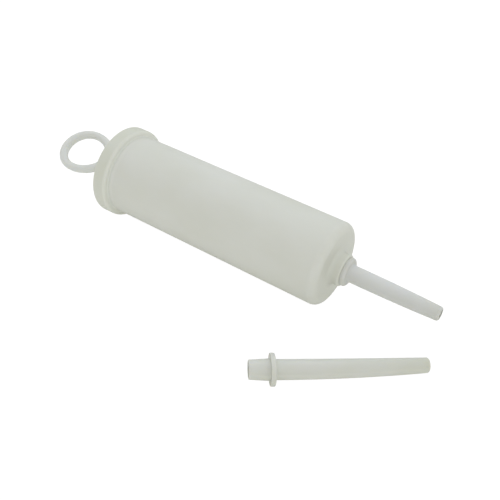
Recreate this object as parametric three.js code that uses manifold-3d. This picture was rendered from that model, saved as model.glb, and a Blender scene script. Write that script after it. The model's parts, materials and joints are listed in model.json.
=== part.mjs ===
// Hand syringe for filling and injecting meat: a barrel with a screw-on rear cap,
// a ring-handled plunger, one nozzle fitted and a longer one lying beside it.
// Millimetres, +Z up, +X towards the nozzle. The syringe lies on its side on the
// plane Z = 0, touching it with its cap and with the front edge of its barrel.
import * as THREE from 'three';
import { mergeVertices } from 'three/addons/utils/BufferGeometryUtils.js';
import Module from 'manifold-3d';

// ---------------------------------------------------------------- dimensions
// "Along" is measured on the barrel's axis, from the cap's front face (0) forward.

const GAP = 0.3;                  // clearance between pieces that touch

const BARREL_RADIUS = 30;
const BARREL_WALL = 3;
const BARREL_BORE = BARREL_RADIUS - BARREL_WALL;
const BARREL_FRONT = 176;         // front face
const FRONT_WALL = 4;
const FRONT_EDGE = 5;             // rounding of the front rim
const BARREL_REAR = -6.4;         // rear rim, inside the cap
const BOSS_RADIUS = 11.3;
const BOSS_LENGTH = 7.6;

const CAP_RADIUS = 34;
const CAP_REAR = -11.3;
const CAP_FLOOR = 2.8;            // thickness of its rear wall
const CAP_BORE = 30.4;
const CAP_FRONT_EDGE = 3.2;
const ROD_HOLE = 7.4;

const THREAD_LEAD = 3.6;
const THREAD_TURNS = 1.2;
const THREAD_ROOT = 29.2;         // barrel's radius under the thread
const THREAD_HEIGHT = 0.8;
const THREAD_WIDTH = 1.5;         // at the root
const THREAD_CREST = 0.7;
const THREAD_SUNK = 0.3;          // how deep a ridge's foot is buried in its wall
const THREAD_START = -5.4;

const GASKET_THICKNESS = 1.5;
const GASKET_INNER = 26;

const PLUG_LENGTH = 13.3;
const PLUG_ROOT = 6.85;           // radius at the collar
const PLUG_END = 6.1;
const COLLAR_THICKNESS = 3;

// Radii from the collar to the tip, and the power of the taper between them.
const SMALL_NOZZLE = {
  length: 64, collar: 10, root: 6.0, tip: 4.7, taper: 2.3, boreRear: 5.0, boreTip: 3.6,
};
const LARGE_NOZZLE = {
  length: 97, collar: 10.3, root: 6.42, tip: 4.77, taper: 2.0, boreRear: 5.0, boreTip: 3.9,
};

const PISTON_RADIUS = 26.2;
const PISTON_FRONT = BARREL_FRONT + BOSS_LENGTH + GAP - PLUG_LENGTH - GAP;
const DISC_THICKNESS = 3.5;
const SEAL_WIDTH = 6.7;
const HUB_RADIUS = 19;
const SCREW_RADIUS = 3;
const SCREW_HEAD = 6;
const SCREW_HEAD_HEIGHT = 2.9;
const SCREW_DEPTH = 15.5;         // length of screw held in the rod

const ROD_RADIUS = 7;
const ROD_BORE = 4;
const ROD_REAR = -21.7;
const ROD_FLANGE_RADIUS = 22;
const ROD_FLANGE = 4;

const RING_WIRE = 3.5;            // radius of the ring's round section
const RING_CENTRE = -49.6;
const RING_HALF_LENGTH = 19.9;    // to the middle of the wire
const RING_HALF_WIDTH = 16.7;
const RING_EGG = 0.084;           // how much fuller the rear half is
const RING_ROLL = THREE.MathUtils.degToRad(18.35);
const STUB_LENGTH = 18;

const SPARE_X = 178.5;            // collar of the loose nozzle, from the cap's front face
const SPARE_Y = -84.4;
const SPARE_YAW = THREE.MathUtils.degToRad(38.9);

const ROUND_BIG = 56;             // facets round the barrel and what fits it
const ROUND_SMALL = 32;
const ARC_STEPS = 3;

// ---------------------------------------------------------------- materials

function plastic(name, color, roughness) {
  return new THREE.MeshStandardMaterial({ name, color, roughness, metalness: 0 });
}

const naturalPlastic = plastic('natural_plastic', 0xc9cac2, 0.42);
const handlePlastic = plastic('handle_plastic', 0xc6c7c2, 0.45);
const pistonPlastic = plastic('piston_plastic', 0xc2c3ba, 0.5);
const sealRubber = plastic('seal_rubber', 0xd2d0c6, 0.7);

// ---------------------------------------------------------------- helpers

const wasm = await Module();
wasm.setup();

function toSolid(geometry) {
  const bare = geometry.clone();
  bare.deleteAttribute('normal');
  bare.deleteAttribute('uv');
  const merged = mergeVertices(bare);
  return new wasm.Manifold(new wasm.Mesh({
    numProp: 3,
    vertProperties: new Float32Array(merged.attributes.position.array),
    triVerts: new Uint32Array(merged.index.array),
  }));
}

function toGeometry(solid) {
  const mesh = solid.getMesh();
  const geometry = new THREE.BufferGeometry();
  geometry.setAttribute('position', new THREE.BufferAttribute(mesh.vertProperties, 3));
  geometry.setIndex(new THREE.BufferAttribute(mesh.triVerts, 1));
  geometry.computeVertexNormals();
  return geometry;
}

// The points of one rounded corner, in order, between its two neighbours.
function cornerArc(before, corner, after, fillet) {
  const back = before.clone().sub(corner).normalize();
  const ahead = after.clone().sub(corner).normalize();
  const half = Math.acos(THREE.MathUtils.clamp(back.dot(ahead), -1, 1)) / 2;
  const bisector = back.clone().add(ahead).normalize();
  const centre = corner.clone().addScaledVector(bisector, fillet / Math.sin(half));
  const start = corner.clone().addScaledVector(back, fillet / Math.tan(half));
  const turn = (Math.PI - 2 * half) * Math.sign(ahead.cross(back));
  return Array.from({ length: ARC_STEPS + 1 }, (_, step) => (
    start.clone().rotateAround(centre, turn * step / ARC_STEPS)
  ));
}

// A closed outline from corners of [along, radius, fillet].
function outline(corners) {
  const points = corners.map(([along, radius]) => new THREE.Vector2(radius, along));
  const rounded = corners.flatMap(([, , fillet = 0], i) => {
    if (fillet === 0) return [points[i]];
    return cornerArc(points.at(i - 1), points[i], points[(i + 1) % points.length], fillet);
  });
  return [...rounded, rounded[0].clone()];
}

// A body of revolution round the X axis. The corners run forward on the outside.
function turned(corners, facets) {
  return new THREE.LatheGeometry(outline(corners), facets).rotateZ(-Math.PI / 2);
}

// A helical ridge on a cylinder, its height inward or outward, thinning at both ends.
function threadRidge(radius, height, startTurn) {
  const foot = -THREAD_SUNK * Math.sign(height);
  const section = new THREE.Shape();
  section.moveTo(-THREAD_WIDTH / 2, foot);
  section.lineTo(THREAD_WIDTH / 2, foot);
  section.lineTo(THREAD_CREST / 2, height);
  section.lineTo(-THREAD_CREST / 2, height);
  const depth = 2 * Math.PI * THREAD_TURNS;
  const steps = Math.round(ROUND_BIG * THREAD_TURNS);
  const bar = new THREE.ExtrudeGeometry(section, { depth, steps, bevelEnabled: false });
  const place = bar.attributes.position;
  const runOut = 0.35;
  for (let i = 0; i < place.count; i += 1) {
    const sweep = place.getZ(i);
    const fade = THREE.MathUtils.clamp(Math.min(sweep, depth - sweep) / runOut, 0.1, 1);
    const isCrest = place.getY(i) * height > 0;
    const rise = isCrest ? height * fade : foot;
    const angle = sweep + startTurn * 2 * Math.PI;
    const along = THREAD_START + THREAD_LEAD * (sweep / (2 * Math.PI)) + place.getX(i);
    const reach = radius + rise;
    place.setXYZ(i, along, reach * Math.cos(angle), reach * Math.sin(angle));
  }
  return bar;
}

function piece(name, geometry, material) {
  const mesh = new THREE.Mesh(geometry, material);
  mesh.name = name;
  return mesh;
}

// ---------------------------------------------------------------- barrel

function makeBarrel() {
  const bossFace = BARREL_FRONT + BOSS_LENGTH;
  const wallFace = BARREL_FRONT - FRONT_WALL;
  const socketSlope = (PLUG_ROOT - PLUG_END) / PLUG_LENGTH;
  const socketRear = PLUG_ROOT + GAP - socketSlope * (bossFace - wallFace);
  const body = turned([
    [BARREL_REAR, BARREL_BORE],
    [BARREL_REAR, THREAD_ROOT, 0.5],
    [-0.2, THREAD_ROOT],
    [-0.2, BARREL_RADIUS],
    [BARREL_FRONT, BARREL_RADIUS, FRONT_EDGE],
    [BARREL_FRONT, BOSS_RADIUS],
    [bossFace, BOSS_RADIUS, 1.6],
    [bossFace, PLUG_ROOT + GAP],
    [wallFace, socketRear],
    [wallFace, BARREL_BORE, 1.5],
  ], ROUND_BIG);
  const thread = threadRidge(THREAD_ROOT, THREAD_HEIGHT, 0);
  return toGeometry(toSolid(body).add(toSolid(thread)));
}

// ---------------------------------------------------------------- rear cap

function makeRearCap() {
  const body = turned([
    [CAP_REAR, ROD_HOLE, 0.6],
    [CAP_REAR, CAP_RADIUS, 1.2],
    [0, CAP_RADIUS, CAP_FRONT_EDGE],
    [0, CAP_BORE],
    [CAP_REAR + CAP_FLOOR, CAP_BORE],
    [CAP_REAR + CAP_FLOOR, ROD_HOLE],
  ], ROUND_BIG);
  const thread = threadRidge(CAP_BORE, -THREAD_HEIGHT, -0.5);
  return toGeometry(toSolid(body).add(toSolid(thread)));
}

function makeCapGasket() {
  const rear = CAP_REAR + CAP_FLOOR + GAP;
  const front = rear + GASKET_THICKNESS;
  return turned([
    [rear, GASKET_INNER],
    [rear, CAP_BORE - GAP],
    [front, CAP_BORE - GAP],
    [front, GASKET_INNER],
  ], ROUND_BIG);
}

// ---------------------------------------------------------------- piston

const discRear = PISTON_FRONT - DISC_THICKNESS;
const sealRear = discRear - GAP - SEAL_WIDTH;
const pistonRear = sealRear - GAP - DISC_THICKNESS;
const rodFront = pistonRear - GAP;

// The front disc and its hub, with a recess for the screw's head.
function makePistonFrontDisc() {
  const recess = PISTON_FRONT - SCREW_HEAD_HEIGHT - 2 * GAP;
  return turned([
    [pistonRear, SCREW_RADIUS + GAP],
    [pistonRear, HUB_RADIUS, 0.5],
    [discRear, HUB_RADIUS],
    [discRear, PISTON_RADIUS],
    [PISTON_FRONT, PISTON_RADIUS, 1],
    [PISTON_FRONT, SCREW_HEAD + GAP],
    [recess, SCREW_HEAD + GAP],
    [recess, SCREW_RADIUS + GAP],
  ], ROUND_BIG);
}

function makePistonSeal() {
  const front = sealRear + SEAL_WIDTH;
  const middle = sealRear + SEAL_WIDTH / 2;
  const lip = BARREL_BORE - GAP;
  const groove = lip - 1.2;
  return turned([
    [sealRear, HUB_RADIUS + GAP],
    [sealRear, lip, 0.7],
    [middle - 1, lip],
    [middle, groove],
    [middle + 1, lip],
    [front, lip, 0.7],
    [front, HUB_RADIUS + GAP],
  ], ROUND_BIG);
}

function makePistonBackDisc() {
  const front = pistonRear + DISC_THICKNESS;
  return turned([
    [pistonRear, HUB_RADIUS + GAP],
    [pistonRear, PISTON_RADIUS, 1],
    [front, PISTON_RADIUS],
    [front, HUB_RADIUS + GAP],
  ], ROUND_BIG);
}

// A plastic screw with a coin slot, whose shank runs through the hub into the rod.
function makePistonScrew() {
  const headFront = PISTON_FRONT - GAP;
  const headRear = headFront - SCREW_HEAD_HEIGHT;
  const rear = rodFront - SCREW_DEPTH;
  const body = turned([
    [rear, 0],
    [rear, SCREW_RADIUS, 0.8],
    [headRear, SCREW_RADIUS],
    [headRear, SCREW_HEAD],
    [headFront, SCREW_HEAD, 0.6],
    [headFront, 0],
  ], ROUND_SMALL);
  const slot = new THREE.BoxGeometry(3, 2 * SCREW_HEAD + 2, 1.6);
  slot.translate(headFront, 0, 0);
  return toGeometry(toSolid(body).subtract(toSolid(slot)));
}

// ---------------------------------------------------------------- rod and ring

function makePlungerRod() {
  const screwHole = rodFront - SCREW_DEPTH - 2;
  const flangeRear = rodFront - ROD_FLANGE;
  return turned([
    [ROD_REAR, ROD_BORE],
    [ROD_REAR, ROD_RADIUS, 0.6],
    [flangeRear, ROD_RADIUS, 2],
    [flangeRear, ROD_FLANGE_RADIUS, 0.8],
    [rodFront, ROD_FLANGE_RADIUS, 0.8],
    [rodFront, SCREW_RADIUS + GAP],
    [screwHole, SCREW_RADIUS + GAP],
    [screwHole, ROD_BORE],
  ], ROUND_SMALL);
}

// The closed centre line of the ring, a little fuller at its rear.
class RingLine extends THREE.Curve {
  getPoint(t, target = new THREE.Vector3()) {
    const turn = 2 * Math.PI * t;
    const along = RING_CENTRE + RING_HALF_LENGTH * Math.cos(turn);
    const across = RING_HALF_WIDTH * Math.sin(turn) * (1 - RING_EGG * Math.cos(turn));
    return target.set(along, across * Math.cos(RING_ROLL), across * Math.sin(RING_ROLL));
  }
}

function makeFingerRing() {
  const section = new THREE.Shape();
  section.absarc(0, 0, RING_WIRE, 0, 2 * Math.PI);
  const loop = new THREE.ExtrudeGeometry(section, {
    extrudePath: new RingLine(),
    steps: 48,
    curveSegments: 6,
    bevelEnabled: false,
  });
  const ringFront = RING_CENTRE + RING_HALF_LENGTH;
  const shoulder = ROD_REAR - GAP;
  const stem = turned([
    [ringFront, 0],
    [ringFront, RING_WIRE],
    [ringFront + 5, ROD_RADIUS, 3],
    [shoulder, ROD_RADIUS, 0.6],
    [shoulder, ROD_BORE - GAP],
    [shoulder + STUB_LENGTH, ROD_BORE - GAP, 0.8],
    [shoulder + STUB_LENGTH, 0],
  ], ROUND_SMALL);
  return toGeometry(toSolid(loop).add(toSolid(stem)));
}

// ---------------------------------------------------------------- nozzles

// A nozzle on its own axis, with the rear face of its collar at along = 0.
function makeNozzle({ length, collar, root, tip, taper, boreRear, boreTip }) {
  const end = COLLAR_THICKNESS + length;
  const steps = 7;
  const tube = Array.from({ length: steps }, (_, step) => {
    const part = step / steps;
    return [COLLAR_THICKNESS + length * part, root - (root - tip) * part ** taper];
  });
  return turned([
    [-PLUG_LENGTH, boreRear],
    [-PLUG_LENGTH, PLUG_END, 0.6],
    [0, PLUG_ROOT],
    [0, collar, 0.6],
    [COLLAR_THICKNESS, collar, 0.8],
    ...tube,
    [end, tip, 1],
    [end, boreTip],
  ], ROUND_SMALL);
}

// ---------------------------------------------------------------- assembly

const nozzleSeat = BARREL_FRONT + BOSS_LENGTH + GAP;

function makeSyringe() {
  const syringe = new THREE.Group();
  syringe.add(
    piece('barrel', makeBarrel(), naturalPlastic),
    piece('rear_cap', makeRearCap(), naturalPlastic),
    piece('cap_gasket', makeCapGasket(), sealRubber),
    piece('piston_front_disc', makePistonFrontDisc(), pistonPlastic),
    piece('piston_seal', makePistonSeal(), sealRubber),
    piece('piston_back_disc', makePistonBackDisc(), pistonPlastic),
    piece('piston_screw', makePistonScrew(), pistonPlastic),
    piece('plunger_rod', makePlungerRod(), handlePlastic),
    piece('finger_ring', makeFingerRing(), handlePlastic),
  );
  const fitted = piece('small_nozzle', makeNozzle(SMALL_NOZZLE), naturalPlastic);
  fitted.position.x = nozzleSeat;
  syringe.add(fitted);
  // The cap is wider than the barrel, so the axis falls a little towards the front.
  const span = BARREL_FRONT - FRONT_EDGE + CAP_FRONT_EDGE;
  syringe.rotation.y = Math.atan2(CAP_RADIUS - BARREL_RADIUS, span);
  return syringe;
}

// The loose nozzle rests on the rim of its collar and on its tip.
function makeSpareNozzle() {
  const spare = new THREE.Group();
  const body = piece('large_nozzle', makeNozzle(LARGE_NOZZLE), naturalPlastic);
  body.rotation.y = Math.atan2(LARGE_NOZZLE.collar - LARGE_NOZZLE.tip, LARGE_NOZZLE.length);
  spare.add(body);
  spare.rotation.z = SPARE_YAW;
  spare.position.set(SPARE_X, SPARE_Y, 0);
  return spare;
}

// Sets a group down on Z = 0.
function setDown(group) {
  group.position.z -= new THREE.Box3().setFromObject(group, true).min.z;
  return group;
}

const injector = new THREE.Group();
injector.add(setDown(makeSyringe()), setDown(makeSpareNozzle()));

// The origin is the middle of the object's footprint.
const middle = new THREE.Box3().setFromObject(injector, true).getCenter(new THREE.Vector3());
injector.position.set(-middle.x, -middle.y, 0);

export default injector;
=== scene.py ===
"""Looks for a milky plastic meat syringe and its loose nozzle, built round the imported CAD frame.

Lengths in the outlines are millimetres along the barrel's axis, from the rear cap's front face
(0) towards the nozzle, and across it. The row frame is in metres, with the floor at Z = 0.
"""

import json
import math

import bmesh
import bpy
from mathutils import Matrix, Vector


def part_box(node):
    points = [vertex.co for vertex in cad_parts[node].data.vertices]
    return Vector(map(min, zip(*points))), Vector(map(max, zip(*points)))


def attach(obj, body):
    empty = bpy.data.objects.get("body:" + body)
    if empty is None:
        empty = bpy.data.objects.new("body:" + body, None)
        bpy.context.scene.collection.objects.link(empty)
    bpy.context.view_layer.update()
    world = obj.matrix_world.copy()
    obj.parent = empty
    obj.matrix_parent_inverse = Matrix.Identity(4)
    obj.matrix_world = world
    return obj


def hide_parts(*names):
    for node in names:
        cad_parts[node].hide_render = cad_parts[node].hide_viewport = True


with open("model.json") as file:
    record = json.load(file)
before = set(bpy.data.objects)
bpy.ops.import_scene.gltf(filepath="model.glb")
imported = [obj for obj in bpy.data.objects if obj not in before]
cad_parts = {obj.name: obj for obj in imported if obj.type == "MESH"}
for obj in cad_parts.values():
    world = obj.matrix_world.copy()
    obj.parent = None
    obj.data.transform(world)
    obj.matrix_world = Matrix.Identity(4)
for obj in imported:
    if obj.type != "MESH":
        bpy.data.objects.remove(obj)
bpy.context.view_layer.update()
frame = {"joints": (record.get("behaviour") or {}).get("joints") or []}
joints = {joint["name"]: joint for joint in frame["joints"]}

# ---------------------------------------------------------------- dimensions, millimetres

MM = 0.001
GAP = 0.3

BARREL_RADIUS = 30
BARREL_BORE = 27
BARREL_FRONT = 176
BARREL_SHOULDER = -0.2
BARREL_REAR = -6.4
FRONT_WALL = 4
FRONT_ROUNDING = 5.7
BOSS_RADIUS = 11.3
BOSS_LENGTH = 7.6

CAP_RADIUS = 34
CAP_REAR = -11.3
CAP_FLOOR = 2.8
CAP_BORE = 30.4
CAP_LIP = 30.02
LIP_FLARE = 1.4
ROD_HOLE = 7.4
WASHER_HOLE = 26
WASHER_THICKNESS = 1.5

THREAD_ROOT = 29.2
THREAD_LEAD = 3.6
THREAD_TURNS = 1.2
THREAD_START = -5.4
THREAD_HEIGHT = 0.8

PLUG_LENGTH = 13.3
PLUG_ROOT = 6.85
PLUG_END = 6.1
COLLAR_THICKNESS = 3
TIP_ROUNDING = 1.6

FITTED_LENGTH = 64
FITTED_COLLAR = 10
FITTED_RADII = (6.0, 4.7)
FITTED_BORES = (5.0, 3.0)

SPARE_LENGTH = 97
SPARE_COLLAR = 10.3
SPARE_RADII = (6.42, 4.77)
SPARE_BORES = (5.0, 3.3)
SPARE_YAW = math.radians(38.9)
SPARE_BEND = 1650

PISTON_RADIUS = 26.2
PISTON_FRONT = BARREL_FRONT + BOSS_LENGTH - PLUG_LENGTH
DISC_THICKNESS = 3.5
SEAL_WIDTH = 6.7
SEAL_GROOVE = 1.2
HUB_RADIUS = 19
SCREW_RADIUS = 3
SCREW_HEAD = 6
SCREW_HEAD_HEIGHT = 2.9
SCREW_DEPTH = 15.5
SCREW_SLOT = 1.6
SCREW_SLOT_DEPTH = 1.5

ROD_RADIUS = 7
ROD_BORE = 4
ROD_REAR = -21.7
ROD_FLANGE_RADIUS = 22
ROD_FLANGE_THICKNESS = 4

RING_WIRE = 3.5
RING_SIDE_WIRE = 3.1
RING_CENTRE = -49.6
RING_HALF_LENGTH = 19.9
RING_HALF_WIDTH = 16.7
RING_EGG = 0.084
RING_ROLL = math.radians(18.35)
NECK_LENGTH = 5
STUB_LENGTH = 18

DISC_REAR = PISTON_FRONT - DISC_THICKNESS
SEAL_REAR = DISC_REAR - GAP - SEAL_WIDTH
PISTON_REAR = SEAL_REAR - GAP - DISC_THICKNESS
ROD_FRONT = PISTON_REAR - GAP

FACETS = 144
EDGE_BAND = 1
SHARP_ANGLE = math.radians(32)

# ---------------------------------------------------------------- placing


def axis_frame(forward, at):
    """The matrix whose +X runs along forward, with +Y level, and whose origin is at."""
    side = Vector((0, 0, 1)).cross(forward).normalized()
    up = forward.cross(side)
    turn = Matrix((forward, side, up)).transposed().to_4x4()
    return Matrix.Translation(at) @ turn @ Matrix.Scale(MM, 4)


forward = -Vector(joints["cap_turn"]["axis"]).normalized()
cap_rear = Vector(joints["cap_turn"]["pos_m"])
syringe = axis_frame(forward, cap_rear - forward * (CAP_REAR * MM))


def match_box(piece, node):
    """Shifts a piece so that its box is centred on that CAD node's."""
    low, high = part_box(node)
    points = [piece.matrix_world @ vertex.co for vertex in piece.data.vertices]
    middle = [(min(p[i] for p in points) + max(p[i] for p in points)) / 2 for i in range(3)]
    piece.matrix_world.translation += (Vector(low) + Vector(high)) / 2 - Vector(middle)


def settle(piece):
    """Notes each point's own place, in millimetres, and how sharp the surface is there, then
    moves the mesh to the row frame, so that the piece's own matrix is plain."""
    mesh = piece.data
    work = bmesh.new()
    work.from_mesh(mesh)
    own = work.verts.layers.float_vector.new("own_place")
    ridge = work.verts.layers.float.new("ridge")
    for vertex in work.verts:
        runs = [(edge.other_vert(vertex).co - vertex.co).normalized() for edge in vertex.link_edges]
        vertex[own] = vertex.co
        vertex[ridge] = -sum(vertex.normal.dot(run) for run in runs) / len(runs)
    work.to_mesh(mesh)
    work.free()
    mesh.transform(piece.matrix_world)
    piece.matrix_world = Matrix()


# ---------------------------------------------------------------- shapes


def corner_arc(before, corner, after, fillet):
    """The points of one rounded corner, between its two neighbours."""
    steps = 8
    back = (before - corner).normalized()
    ahead = (after - corner).normalized()
    half = back.angle(ahead) / 2
    centre = corner + (back + ahead).normalized() * (fillet / math.sin(half))
    spoke = corner + back * (fillet / math.tan(half)) - centre
    turn = math.copysign(math.pi - 2 * half, ahead.cross(back))
    return [centre + Matrix.Rotation(turn * step / steps, 2) @ spoke for step in range(steps + 1)]


def outline(corners):
    """A closed outline from corners of (along, radius) or (along, radius, fillet)."""
    points = [Vector(corner[:2]) for corner in corners]
    rounded = []
    for i, corner in enumerate(corners):
        if len(corner) == 2:
            rounded.append(points[i])
        else:
            after = points[(i + 1) % len(points)]
            rounded += corner_arc(points[i - 1], points[i], after, corner[2])
    return supported(rounded)


def supported(points):
    """Adds a point close to each end of a long straight run, so that an edge stays local."""
    supports = []
    for i, point in enumerate(points):
        run = points[(i + 1) % len(points)] - point
        supports.append(point)
        if run.length > 3 * EDGE_BAND:
            step = run.normalized() * EDGE_BAND
            supports += [point + step, point + run - step]
    return supports


def make_piece(name, vertices, faces, place=syringe):
    """A closed mesh in millimetres, with its place as its object's matrix."""
    mesh = bpy.data.meshes.new(name)
    mesh.from_pydata(vertices, [], faces)
    work = bmesh.new()
    work.from_mesh(mesh)
    bmesh.ops.remove_doubles(work, verts=work.verts, dist=1e-4)
    bmesh.ops.recalc_face_normals(work, faces=work.faces)
    work.to_mesh(mesh)
    work.free()
    piece = bpy.data.objects.new(name, mesh)
    bpy.context.scene.collection.objects.link(piece)
    piece.matrix_world = place
    return piece


def smooth(piece):
    """Shades a piece smooth, but not across its sharp edges."""
    piece.data.shade_smooth()
    piece.data.set_sharp_from_angle(angle=SHARP_ANGLE)


def turned(name, corners, place=syringe):
    """A body of revolution round the X axis, the corners running forward on the outside."""
    profile = outline(corners)
    vertices = []
    for along, radius in profile:
        for facet in range(FACETS):
            angle = 2 * math.pi * facet / FACETS
            vertices.append((along, radius * math.cos(angle), radius * math.sin(angle)))
    faces = []
    for row in range(len(profile)):
        below = row * FACETS
        above = (row + 1) % len(profile) * FACETS
        for facet in range(FACETS):
            beside = (facet + 1) % FACETS
            faces.append((below + facet, below + beside, above + beside, above + facet))
    piece = make_piece(name, vertices, faces, place)
    smooth(piece)
    return piece


def swept(name, sections, closed):
    """A tube through sections, each a loop of the same number of points."""
    size = len(sections[0])
    vertices = [point for section in sections for point in section]
    faces = []
    for row in range(len(sections) if closed else len(sections) - 1):
        below = row * size
        above = (row + 1) % len(sections) * size
        for i in range(size):
            beside = (i + 1) % size
            faces.append((below + i, below + beside, above + beside, above + i))
    if not closed:
        faces.append(tuple(range(size)))
        faces.append(tuple(range(len(vertices) - size, len(vertices))))
    return make_piece(name, vertices, faces)


def combine(piece, other, operation):
    """Joins other to piece, or cuts it away, and removes other."""
    change = piece.modifiers.new(operation.lower(), "BOOLEAN")
    change.operation = operation
    change.solver = "EXACT"
    change.object = other
    apply_modifiers(piece)
    bpy.data.objects.remove(other)
    smooth(piece)


def apply_modifiers(piece):
    graph = bpy.context.evaluated_depsgraph_get()
    finished = bpy.data.meshes.new_from_object(piece.evaluated_get(graph))
    piece.modifiers.clear()
    piece.data = finished


def thread_ridge(radius, height, start_turn):
    """A helical ridge whose foot is sunk in the wall and which thins out at both ends."""
    steps = round(FACETS * THREAD_TURNS)
    sunk = -math.copysign(0.3, height)
    half_foot, half_crest, run_out, thinnest = 0.75, 0.35, 0.35, 0.1
    sections = []
    for step in range(steps + 1):
        sweep = 2 * math.pi * THREAD_TURNS * step / steps
        rest = 2 * math.pi * THREAD_TURNS - sweep
        rise = height * min(1, max(thinnest, min(sweep, rest) / run_out))
        angle = sweep + 2 * math.pi * start_turn
        along = THREAD_START + THREAD_LEAD * sweep / (2 * math.pi)
        corners = [(-half_foot, sunk), (half_foot, sunk), (half_crest, rise), (-half_crest, rise)]
        sections.append([
            (along + x, (radius + y) * math.cos(angle), (radius + y) * math.sin(angle))
            for x, y in corners
        ])
    return swept("thread", sections, closed=False)


# ---------------------------------------------------------------- barrel and cap


def make_barrel():
    boss_face = BARREL_FRONT + BOSS_LENGTH
    wall_face = BARREL_FRONT - FRONT_WALL
    slope = (PLUG_ROOT - PLUG_END) / PLUG_LENGTH
    barrel = turned("barrel_shell", [
        (BARREL_REAR, BARREL_BORE, 0.3),
        (BARREL_REAR, THREAD_ROOT, 0.5),
        (BARREL_SHOULDER, THREAD_ROOT),
        (BARREL_SHOULDER, BARREL_RADIUS, 0.2),
        (BARREL_FRONT, BARREL_RADIUS, FRONT_ROUNDING),
        (BARREL_FRONT, BOSS_RADIUS, 3.6),
        (boss_face, BOSS_RADIUS, 1.4),
        (boss_face, PLUG_ROOT + GAP, 0.3),
        (wall_face, PLUG_ROOT + GAP - slope * (boss_face - wall_face), 0.2),
        (wall_face, BARREL_BORE, 1.5),
    ])
    combine(barrel, thread_ridge(THREAD_ROOT, THREAD_HEIGHT, 0), "UNION")
    return barrel


def make_rear_cap():
    """The cap's front rim flares down to a thin lip that closes on the barrel."""
    cap = turned("rear_cap_shell", [
        (CAP_REAR, ROD_HOLE, 0.6),
        (CAP_REAR, CAP_RADIUS, 1.2),
        (0, CAP_RADIUS, 2.4),
        (0, CAP_LIP, LIP_FLARE),
        (LIP_FLARE, CAP_LIP),
        (-1, CAP_LIP),
        (-1.4, CAP_BORE),
        (CAP_REAR + CAP_FLOOR, CAP_BORE),
        (CAP_REAR + CAP_FLOOR, ROD_HOLE, 0.4),
    ])
    combine(cap, thread_ridge(CAP_BORE, -THREAD_HEIGHT, -0.5), "UNION")
    return cap


def make_gasket():
    rear = CAP_REAR + CAP_FLOOR + GAP
    front = rear + WASHER_THICKNESS
    return turned("cap_washer", [
        (rear, WASHER_HOLE, 0.3),
        (rear, CAP_BORE - GAP, 0.3),
        (front, CAP_BORE - GAP, 0.3),
        (front, WASHER_HOLE, 0.3),
    ])


# ---------------------------------------------------------------- piston


def make_front_disc():
    recess = PISTON_FRONT - SCREW_HEAD_HEIGHT - 2 * GAP
    return turned("piston_face", [
        (PISTON_REAR, SCREW_RADIUS + GAP, 0.2),
        (PISTON_REAR, HUB_RADIUS, 0.5),
        (DISC_REAR, HUB_RADIUS),
        (DISC_REAR, PISTON_RADIUS, 0.3),
        (PISTON_FRONT, PISTON_RADIUS, 1),
        (PISTON_FRONT, SCREW_HEAD + GAP, 0.3),
        (recess, SCREW_HEAD + GAP),
        (recess, SCREW_RADIUS + GAP),
    ])


def make_seal():
    """A ring with two lips, and a groove between them."""
    front = SEAL_REAR + SEAL_WIDTH
    middle = SEAL_REAR + SEAL_WIDTH / 2
    lip = BARREL_BORE - GAP
    return turned("piston_seal_ring", [
        (SEAL_REAR, HUB_RADIUS + GAP, 0.3),
        (SEAL_REAR, lip, 0.7),
        (middle - 1, lip, 0.4),
        (middle, lip - SEAL_GROOVE, 0.4),
        (middle + 1, lip, 0.4),
        (front, lip, 0.7),
        (front, HUB_RADIUS + GAP, 0.3),
    ])


def make_back_disc():
    front = PISTON_REAR + DISC_THICKNESS
    return turned("piston_rear_plate", [
        (PISTON_REAR, HUB_RADIUS + GAP, 0.2),
        (PISTON_REAR, PISTON_RADIUS, 1),
        (front, PISTON_RADIUS, 0.3),
        (front, HUB_RADIUS + GAP),
    ])


def make_screw():
    head_front = PISTON_FRONT - GAP
    head_rear = head_front - SCREW_HEAD_HEIGHT
    rear = ROD_FRONT - SCREW_DEPTH
    screw = turned("piston_screw_body", [
        (rear, 0),
        (rear, SCREW_RADIUS, 0.8),
        (head_rear, SCREW_RADIUS, 0.2),
        (head_rear, SCREW_HEAD, 0.3),
        (head_front, SCREW_HEAD, 0.6),
        (head_front, 0),
    ])
    half_slot, past = SCREW_SLOT / 2, SCREW_HEAD + 1
    corners = [(-past, -half_slot), (past, -half_slot), (past, half_slot), (-past, half_slot)]
    slot = [
        [(head_front + x, y, z) for y, z in corners] for x in (-SCREW_SLOT_DEPTH, SCREW_SLOT_DEPTH)
    ]
    combine(screw, swept("slot", slot, closed=False), "DIFFERENCE")
    return screw


# ---------------------------------------------------------------- rod and ring


def make_rod():
    screw_hole = ROD_FRONT - SCREW_DEPTH - 2
    flange_rear = ROD_FRONT - ROD_FLANGE_THICKNESS
    return turned("rod_tube", [
        (ROD_REAR, ROD_BORE, 0.3),
        (ROD_REAR, ROD_RADIUS, 0.6),
        (flange_rear, ROD_RADIUS, 2),
        (flange_rear, ROD_FLANGE_RADIUS, 0.8),
        (ROD_FRONT, ROD_FLANGE_RADIUS, 0.8),
        (ROD_FRONT, SCREW_RADIUS + GAP, 0.3),
        (screw_hole, SCREW_RADIUS + GAP),
        (screw_hole, ROD_BORE),
    ])


def ring_point(turn):
    """A point of the ring's centre line, which is a little fuller at its rear."""
    along = RING_CENTRE + RING_HALF_LENGTH * math.cos(turn)
    across = RING_HALF_WIDTH * math.sin(turn) * (1 - RING_EGG * math.cos(turn))
    return Vector((along, across * math.cos(RING_ROLL), across * math.sin(RING_ROLL)))


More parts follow.
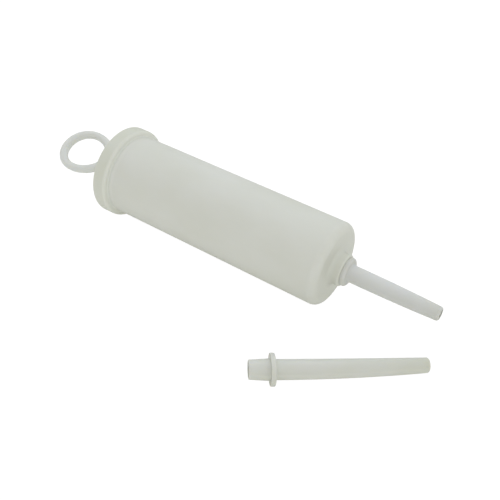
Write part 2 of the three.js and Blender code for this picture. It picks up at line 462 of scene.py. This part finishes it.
def make_ring():
    """The loop and its stem, moulded in one: joined, then softened where they meet."""
    steps, points = 160, 32
    normal = Vector((0, -math.sin(RING_ROLL), math.cos(RING_ROLL)))
    sections = []
    for step in range(steps):
        turn = 2 * math.pi * step / steps
        run = (ring_point(turn + 0.01) - ring_point(turn - 0.01)).normalized()
        across = run.cross(normal)
        wire = RING_WIRE + (RING_SIDE_WIRE - RING_WIRE) * math.sin(turn)**2
        sections.append([
            ring_point(turn)
            + across * (wire * math.cos(2 * math.pi * i / points))
            + normal * (wire * math.sin(2 * math.pi * i / points))
            for i in range(points)
        ])
    ring = swept("ring_handle", sections, closed=True)
    start = RING_CENTRE + RING_HALF_LENGTH
    shoulder = ROD_REAR - GAP
    stem = turned("stem", [
        (start, 0),
        (start, RING_WIRE),
        (start + NECK_LENGTH, ROD_RADIUS, 3),
        (shoulder, ROD_RADIUS, 0.6),
        (shoulder, ROD_BORE - GAP),
        (shoulder + STUB_LENGTH, ROD_BORE - GAP, 0.8),
        (shoulder + STUB_LENGTH, 0),
    ])
    combine(ring, stem, "UNION")
    weld = ring.modifiers.new("weld", "REMESH")
    weld.mode = "VOXEL"
    weld.voxel_size = 0.5
    soften = ring.modifiers.new("soften", "SMOOTH")
    soften.factor = 0.6
    soften.iterations = 14
    apply_modifiers(ring)
    ring.data.shade_smooth()
    return ring


# ---------------------------------------------------------------- nozzles


def make_nozzle(name, place, length, collar, radii, taper, bores, rounding, seat=0):
    """A nozzle whose collar has its rear face at along = 0, or behind it by seat. radii and bores
    are each (at the rear, at the tip), and taper is the power of the curve between the radii."""
    root, tip = radii
    bore_rear, bore_tip = bores
    end = COLLAR_THICKNESS + length
    steps = 24
    tube = []
    for step in range(steps):
        part = step / steps
        tube.append((COLLAR_THICKNESS + length * part, root - (root - tip) * part**taper))
    tube[0] = (*tube[0], rounding)
    return turned(name, [
        (-PLUG_LENGTH, bore_rear, 0.3),
        (-PLUG_LENGTH, PLUG_END, 0.6),
        (-seat, PLUG_ROOT, 0.1),
        (-seat, collar, 0.3),
        (COLLAR_THICKNESS, collar, rounding),
        *tube,
        (end, tip, TIP_ROUNDING),
        (end, bore_tip, 0.1),
    ], place)


def make_small_nozzle():
    """The fitted nozzle's collar reaches back over the gap that the CAD solids keep."""
    place = syringe @ Matrix.Translation((BARREL_FRONT + BOSS_LENGTH + GAP, 0, 0))
    return make_nozzle(
        "nozzle_fitted", place, FITTED_LENGTH, FITTED_COLLAR, FITTED_RADII, 2.3, FITTED_BORES,
        rounding=1.8, seat=GAP - 0.02,
    )


def make_large_nozzle():
    """The loose nozzle rests on the rim of its collar and on its tip."""
    fall = math.atan2(SPARE_COLLAR - SPARE_RADII[1], SPARE_LENGTH)
    level = Vector((math.cos(SPARE_YAW), math.sin(SPARE_YAW), 0))
    place = axis_frame(level * math.cos(fall) - Vector((0, 0, math.sin(fall))), Vector())
    nozzle = make_nozzle(
        "nozzle_loose", place, SPARE_LENGTH, SPARE_COLLAR, SPARE_RADII, 2, SPARE_BORES, rounding=0.9
    )
    bend(nozzle, SPARE_LENGTH / 2, SPARE_BEND)
    match_box(nozzle, "large_nozzle")
    return nozzle


def bend(piece, middle, radius):
    """Bows a long piece slightly to its left, as a moulding warps when it cools."""
    for vertex in piece.data.vertices:
        vertex.co.y += (vertex.co.x - middle)**2 / (2 * radius)


# ---------------------------------------------------------------- materials


class Wiring:
    """A node tree, and short calls that add one node each and return its output."""

    def __init__(self, tree):
        self.nodes, self.links = tree.nodes, tree.links

    def feed(self, sockets, values):
        """Gives each socket its value: a number, a colour, or another node's output."""
        for socket, value in zip(sockets, values):
            if isinstance(value, bpy.types.NodeSocket):
                self.links.new(value, socket)
            else:
                socket.default_value = (*value, 1) if socket.type == "RGBA" else value

    def spread(self, value, low, high, from_low=0.3, from_high=0.7, soft=False):
        """A value carried from one range to another."""
        node = self.nodes.new("ShaderNodeMapRange")
        node.interpolation_type = "SMOOTHSTEP" if soft else "LINEAR"
        self.feed(node.inputs, (value, from_low, from_high, low, high))
        return node.outputs["Result"]

    def math(self, operation, first, second):
        node = self.nodes.new("ShaderNodeMath")
        node.operation = operation
        self.feed(node.inputs, (first, second))
        return node.outputs["Value"]

    def dot(self, first, second):
        node = self.nodes.new("ShaderNodeVectorMath")
        node.operation = "DOT_PRODUCT"
        self.feed(node.inputs, (first, second))
        return node.outputs["Value"]

    def blend(self, factor, first, second):
        """A colour between two, each a colour or an output."""
        node = self.nodes.new("ShaderNodeMix")
        node.data_type = "RGBA"
        colours = [socket for socket in node.inputs if socket.type == "RGBA"]
        self.feed([node.inputs["Factor"], *colours], (factor, first, second))
        return next(socket for socket in node.outputs if socket.type == "RGBA")


class Surface(Wiring):
    """A principled material with procedural patterns wired into it."""

    def __init__(self, name):
        self.material = bpy.data.materials.new(name)
        self.material.use_nodes = True
        super().__init__(self.material.node_tree)
        self.shader = self.nodes["Principled BSDF"]

    def set(self, **values):
        """Constants on the shader's own sockets, with _ for each space in a name."""
        for name, value in values.items():
            self.shader.inputs[name.replace("_", " ")].default_value = value

    def wire(self, value, socket):
        self.links.new(value, self.shader.inputs[socket])

    def attribute(self, name, output):
        node = self.nodes.new("ShaderNodeAttribute")
        node.attribute_name = name
        return node.outputs[output]

    def noise(self, size_mm, detail=3, stretch=1):
        """Noise with features of about that size, longer along the part by stretch."""
        mapping = self.nodes.new("ShaderNodeMapping")
        mapping.inputs["Scale"].default_value = (1 / stretch, 1, 1)
        self.links.new(self.attribute("own_place", "Vector"), mapping.inputs["Vector"])
        texture = self.nodes.new("ShaderNodeTexNoise")
        self.links.new(mapping.outputs["Vector"], texture.inputs["Vector"])
        texture.inputs["Scale"].default_value = 1 / size_mm
        texture.inputs["Detail"].default_value = detail
        return texture.outputs["Fac"]

    def along(self):
        """How far along its own axis a point of the part lies, in millimetres."""
        return self.dot(self.attribute("own_place", "Vector"), (1, 0, 0))

    def bump(self, *layers):
        """Bumps laid over each other, each (height, depth in mm)."""
        normal = None
        for height, depth_mm in layers:
            node = self.nodes.new("ShaderNodeBump")
            node.inputs["Distance"].default_value = depth_mm * MM
            self.links.new(height, node.inputs["Height"])
            if normal:
                self.links.new(normal, node.inputs["Normal"])
            normal = node.outputs["Normal"]
        self.links.new(normal, self.shader.inputs["Normal"])


# How much paler than its own colour the plastic is painted, as painted light at the seam of cap and
# barrel, and where it is rubbed.
PAINTED_LIGHT_GAIN = 1.08
RUBBED_GAIN = 1.06


def scaled(colour, by):
    return tuple(channel * by for channel in colour)


def milky_plastic(name, colour, warm, scatter, depth_mm, roughness=0.38, thick_and_shaded=(), painted_light=()):
    """Natural polypropylene: light scatters inside it, and some goes straight through. It is
    cloudy, and scuffed a little paler along its edges. Two lists of stretches along the part,
    each (from, to), change its colour: over the first it turns yellower and darker, partly as
    painted shade and partly where the wall is thick; over the second it is paler, as painted
    light that lifts the shade in a seam."""
    surface = Surface(name)
    yellow_and_shade = surface.spread(surface.noise(30, stretch=2), 0, 0.8)
    # Over these stretches the colour turns yellower and darker: painted shade, and the tone of thick
    # walls.
    for stretch in thick_and_shaded:
        yellow_and_shade = surface.math("MAXIMUM", yellow_and_shade, surface.spread(surface.along(), 0, 1, *stretch))
    tint = surface.blend(yellow_and_shade, colour, warm)
    # Over these stretches the colour is paler: painted light that lifts the shade in a seam.
    for stretch in painted_light:
        painted_light_mask = surface.spread(surface.along(), 0, 1, *stretch)
        tint = surface.blend(painted_light_mask, tint, scaled(colour, PAINTED_LIGHT_GAIN))
    ridge = surface.attribute("ridge", "Fac")
    edge = surface.spread(ridge, 0, 1, 0.02, 0.07)
    rubbed = surface.math("MULTIPLY", edge, surface.spread(surface.noise(7, detail=5), 0, 0.5))
    tint = surface.blend(rubbed, tint, scaled(colour, RUBBED_GAIN))
    surface.wire(tint, "Base Color")
    smears = surface.spread(surface.noise(14, detail=5, stretch=3), -0.05, 0.07)
    rough = surface.math("ADD", smears, surface.spread(rubbed, roughness, roughness + 0.15, 0, 0.5))
    surface.wire(rough, "Roughness")
    surface.set(IOR=1.49, Transmission_Weight=0.03, Subsurface_Weight=scatter)
    surface.set(Subsurface_Radius=(1.0, 0.92, 0.72), Subsurface_Scale=depth_mm * MM)
    surface.set(Coat_Weight=1, Coat_Roughness=0.3, Coat_IOR=1.05, Coat_Tint=(0.93, 0.93, 0.92, 1))
    surface.bump((surface.noise(9, detail=2), 0.12), (surface.noise(0.7), 0.012))
    return surface.material


def silicone(name, colour, shade):
    """White silicone rubber, softly mottled and matt."""
    surface = Surface(name)
    tint = surface.blend(surface.spread(surface.noise(6), 0, 1), colour, shade)
    surface.wire(tint, "Base Color")
    surface.wire(surface.spread(surface.noise(3, detail=5), 0.5, 0.68), "Roughness")
    surface.set(IOR=1.41, Subsurface_Weight=0.6, Subsurface_Scale=1.5 * MM)
    surface.set(Subsurface_Radius=(1.0, 0.9, 0.8))
    surface.bump((surface.noise(0.5), 0.01))
    return surface.material


# The barrel is painted darker from 110 mm on, as painted shade of the piston inside its front,
# yellower over its thick front wall, and paler over its first 5 mm, as painted light that lifts the
# shade at the cap's seam.
shell_plastic = milky_plastic(
    "natural_shell", (0.90, 0.91, 0.86), (0.84, 0.85, 0.77), scatter=0.12, depth_mm=1,
    thick_and_shaded=[(110, 215), (172, 180)], painted_light=[(5, 1)],
)
# The cap is painted paler over its front corner, as painted light that lifts the shade at its seam
# with the barrel.
cap_plastic = milky_plastic(
    "natural_cap", (0.87, 0.885, 0.81), (0.79, 0.805, 0.655), scatter=0.12, depth_mm=1,
    painted_light=[(-2.5, -0.5)],
)
# The fitted nozzle is painted yellower and darker over its collar, partly as painted shade beside the
# boss and partly for its thick plastic, and towards its tip.
fitted_plastic = milky_plastic(
    "natural_fitted", (0.87, 0.88, 0.885), (0.77, 0.775, 0.725), scatter=0.3, depth_mm=1.2,
    thick_and_shaded=[(6, 2), (40, 66)],
)
# The loose nozzle is painted yellower and darker towards its tip.
loose_plastic = milky_plastic(
    "natural_loose", (0.865, 0.875, 0.845), (0.77, 0.78, 0.685), scatter=0.35, depth_mm=1.5,
    thick_and_shaded=[(65, 99)],
)
handle_plastic = milky_plastic(
    "natural_handle", (0.90, 0.915, 0.89), (0.875, 0.885, 0.85), scatter=0.2, depth_mm=1
)
piston_plastic = milky_plastic(
    "piston_white", (0.84, 0.84, 0.78), (0.80, 0.80, 0.72), scatter=0.3, depth_mm=1.5,
    roughness=0.42,
)
seal_silicone = silicone("seal_silicone", (0.84, 0.83, 0.77), (0.78, 0.77, 0.70))

# ---------------------------------------------------------------- the object

PIECES = [
    (make_barrel, "barrel", "barrel", "natural_plastic", shell_plastic),
    (make_rear_cap, "rear_cap", "cap", "natural_plastic", cap_plastic),
    (make_gasket, "cap_gasket", "gasket", "seal_rubber", seal_silicone),
    (make_front_disc, "piston_front_disc", "piston", "piston_plastic", piston_plastic),
    (make_seal, "piston_seal", "piston", "seal_rubber", seal_silicone),
    (make_back_disc, "piston_back_disc", "piston", "piston_plastic", piston_plastic),
    (make_screw, "piston_screw", "handle", "piston_plastic", piston_plastic),
    (make_rod, "plunger_rod", "handle", "handle_plastic", handle_plastic),
    (make_ring, "finger_ring", "handle", "handle_plastic", handle_plastic),
    (make_small_nozzle, "small_nozzle", "fitted_nozzle", "natural_plastic", fitted_plastic),
    (make_large_nozzle, "large_nozzle", "spare_nozzle", "natural_plastic", loose_plastic),
]

for make, node, body, slot, material in PIECES:
    piece = make()
    settle(piece)
    piece.data.materials.clear()
    piece.data.materials.append(material)
    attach(piece, body)
    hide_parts(node)

# ---------------------------------------------------------------- floor, light, camera

# How far the two grounds lie below the parts, in metres.
BACKDROP_DROP = 0.0002
TABLE_DROP = 0.0005


def sweep_profile():
    """A floor that curves up into a wall, in metres: (distance out, height)."""
    middle, wall, curve, top, steps = 0.001, 3, 1, 4, 24
    turns = [math.pi / 2 * step / steps for step in range(steps + 1)]
    rise = [(wall - curve + curve * math.sin(turn), curve - curve * math.cos(turn)) for turn in turns]
    return [(middle, 0), *rise, (wall, top)]


def make_backdrop():
    """A white studio sweep, which only the camera sees: it neither lights nor shades."""
    steps = 96
    profile = sweep_profile()
    vertices = []
    for out, height in profile:
        for step in range(steps):
            turn = 2 * math.pi * step / steps
            vertices.append((out * math.cos(turn), out * math.sin(turn), height - BACKDROP_DROP))
    faces = []
    for row in range(len(profile) - 1):
        for step in range(steps):
            beside = (step + 1) % steps
            low, high = row * steps, (row + 1) * steps
            faces.append((low + step, low + beside, high + beside, high + step))
    faces.append(tuple(range(steps - 1, -1, -1)))
    mesh = bpy.data.meshes.new("backdrop")
    mesh.from_pydata(vertices, [], faces)
    mesh.shade_smooth()
    backdrop = bpy.data.objects.new("backdrop", mesh)
    bpy.context.scene.collection.objects.link(backdrop)
    paint = Surface("white_sweep")
    paint.set(Base_Color=(0.12, 0.12, 0.12, 1), Roughness=0.9)
    paint.set(Emission_Color=(1, 1, 1, 1), Emission_Strength=0.95)
    mesh.materials.append(paint.material)
    backdrop.visible_diffuse = False
    backdrop.visible_glossy = False
    backdrop.visible_transmission = False
    backdrop.visible_shadow = False


def make_table(colour, glow):
    """The pale table that the parts lie on. The camera sees the sweep in its place."""
    bpy.ops.mesh.primitive_plane_add(size=6, location=(0, 0, -TABLE_DROP))
    table = bpy.context.object
    table.name = "table"
    paint = Surface("pale_table")
    paint.set(Base_Color=(*colour, 1), Roughness=0.9)
    paint.set(Emission_Color=(1, 1, 1, 1), Emission_Strength=glow)
    table.data.materials.append(paint.material)
    table.visible_camera = False


def make_room(sides, lamps):
    """A white tent of light: pale all round, with big soft lamps, each (colour, towards)."""
    world = bpy.data.worlds.new("white_room")
    world.use_nodes = True
    room = Wiring(world.node_tree)
    look = room.nodes.new("ShaderNodeTexCoord").outputs["Generated"]
    light = sides
    for colour, towards in lamps:
        facing = room.dot(look, Vector(towards).normalized())
        light = room.blend(room.spread(facing, 0, 1, 0.5, 0.9, soft=True), light, colour)
    room.links.new(light, room.nodes["Background"].inputs["Color"])
    bpy.context.scene.world = world


def make_camera():
    """Looks down from the nozzle's side, at the table just past the barrel's middle."""
    azimuth, elevation, distance = math.radians(34.25), math.radians(41.79), 0.5427
    ahead, aside = 0.1004, 0.0090
    cap_front = syringe.translation
    aim = Vector((cap_front.x + ahead, cap_front.y + aside, 0))
    back = Vector((
        math.sin(azimuth) * math.cos(elevation),
        -math.cos(azimuth) * math.cos(elevation),
        math.sin(elevation),
    ))
    lens = bpy.data.cameras.new("camera")
    lens.lens = 52.44
    lens.clip_start, lens.clip_end = 0.01, 20
    camera = bpy.data.objects.new("camera", lens)
    camera.location = aim + back * distance
    camera.rotation_euler = (-back).to_track_quat("-Z", "Y").to_euler()
    bpy.context.scene.collection.objects.link(camera)
    bpy.context.scene.camera = camera


KEY_LAMP = ((1.05, 1.09, 1.13), (-0.35, 0.6, 0.72))
FRONT_LAMP = ((0.87, 0.87, 0.86), (1, -0.15, -0.1))

make_backdrop()
make_table((0.9, 0.9, 0.88), glow=0.12)
make_room((0.65, 0.65, 0.64), [FRONT_LAMP, KEY_LAMP])
make_camera()
bpy.context.scene.view_settings.view_transform = "Standard"
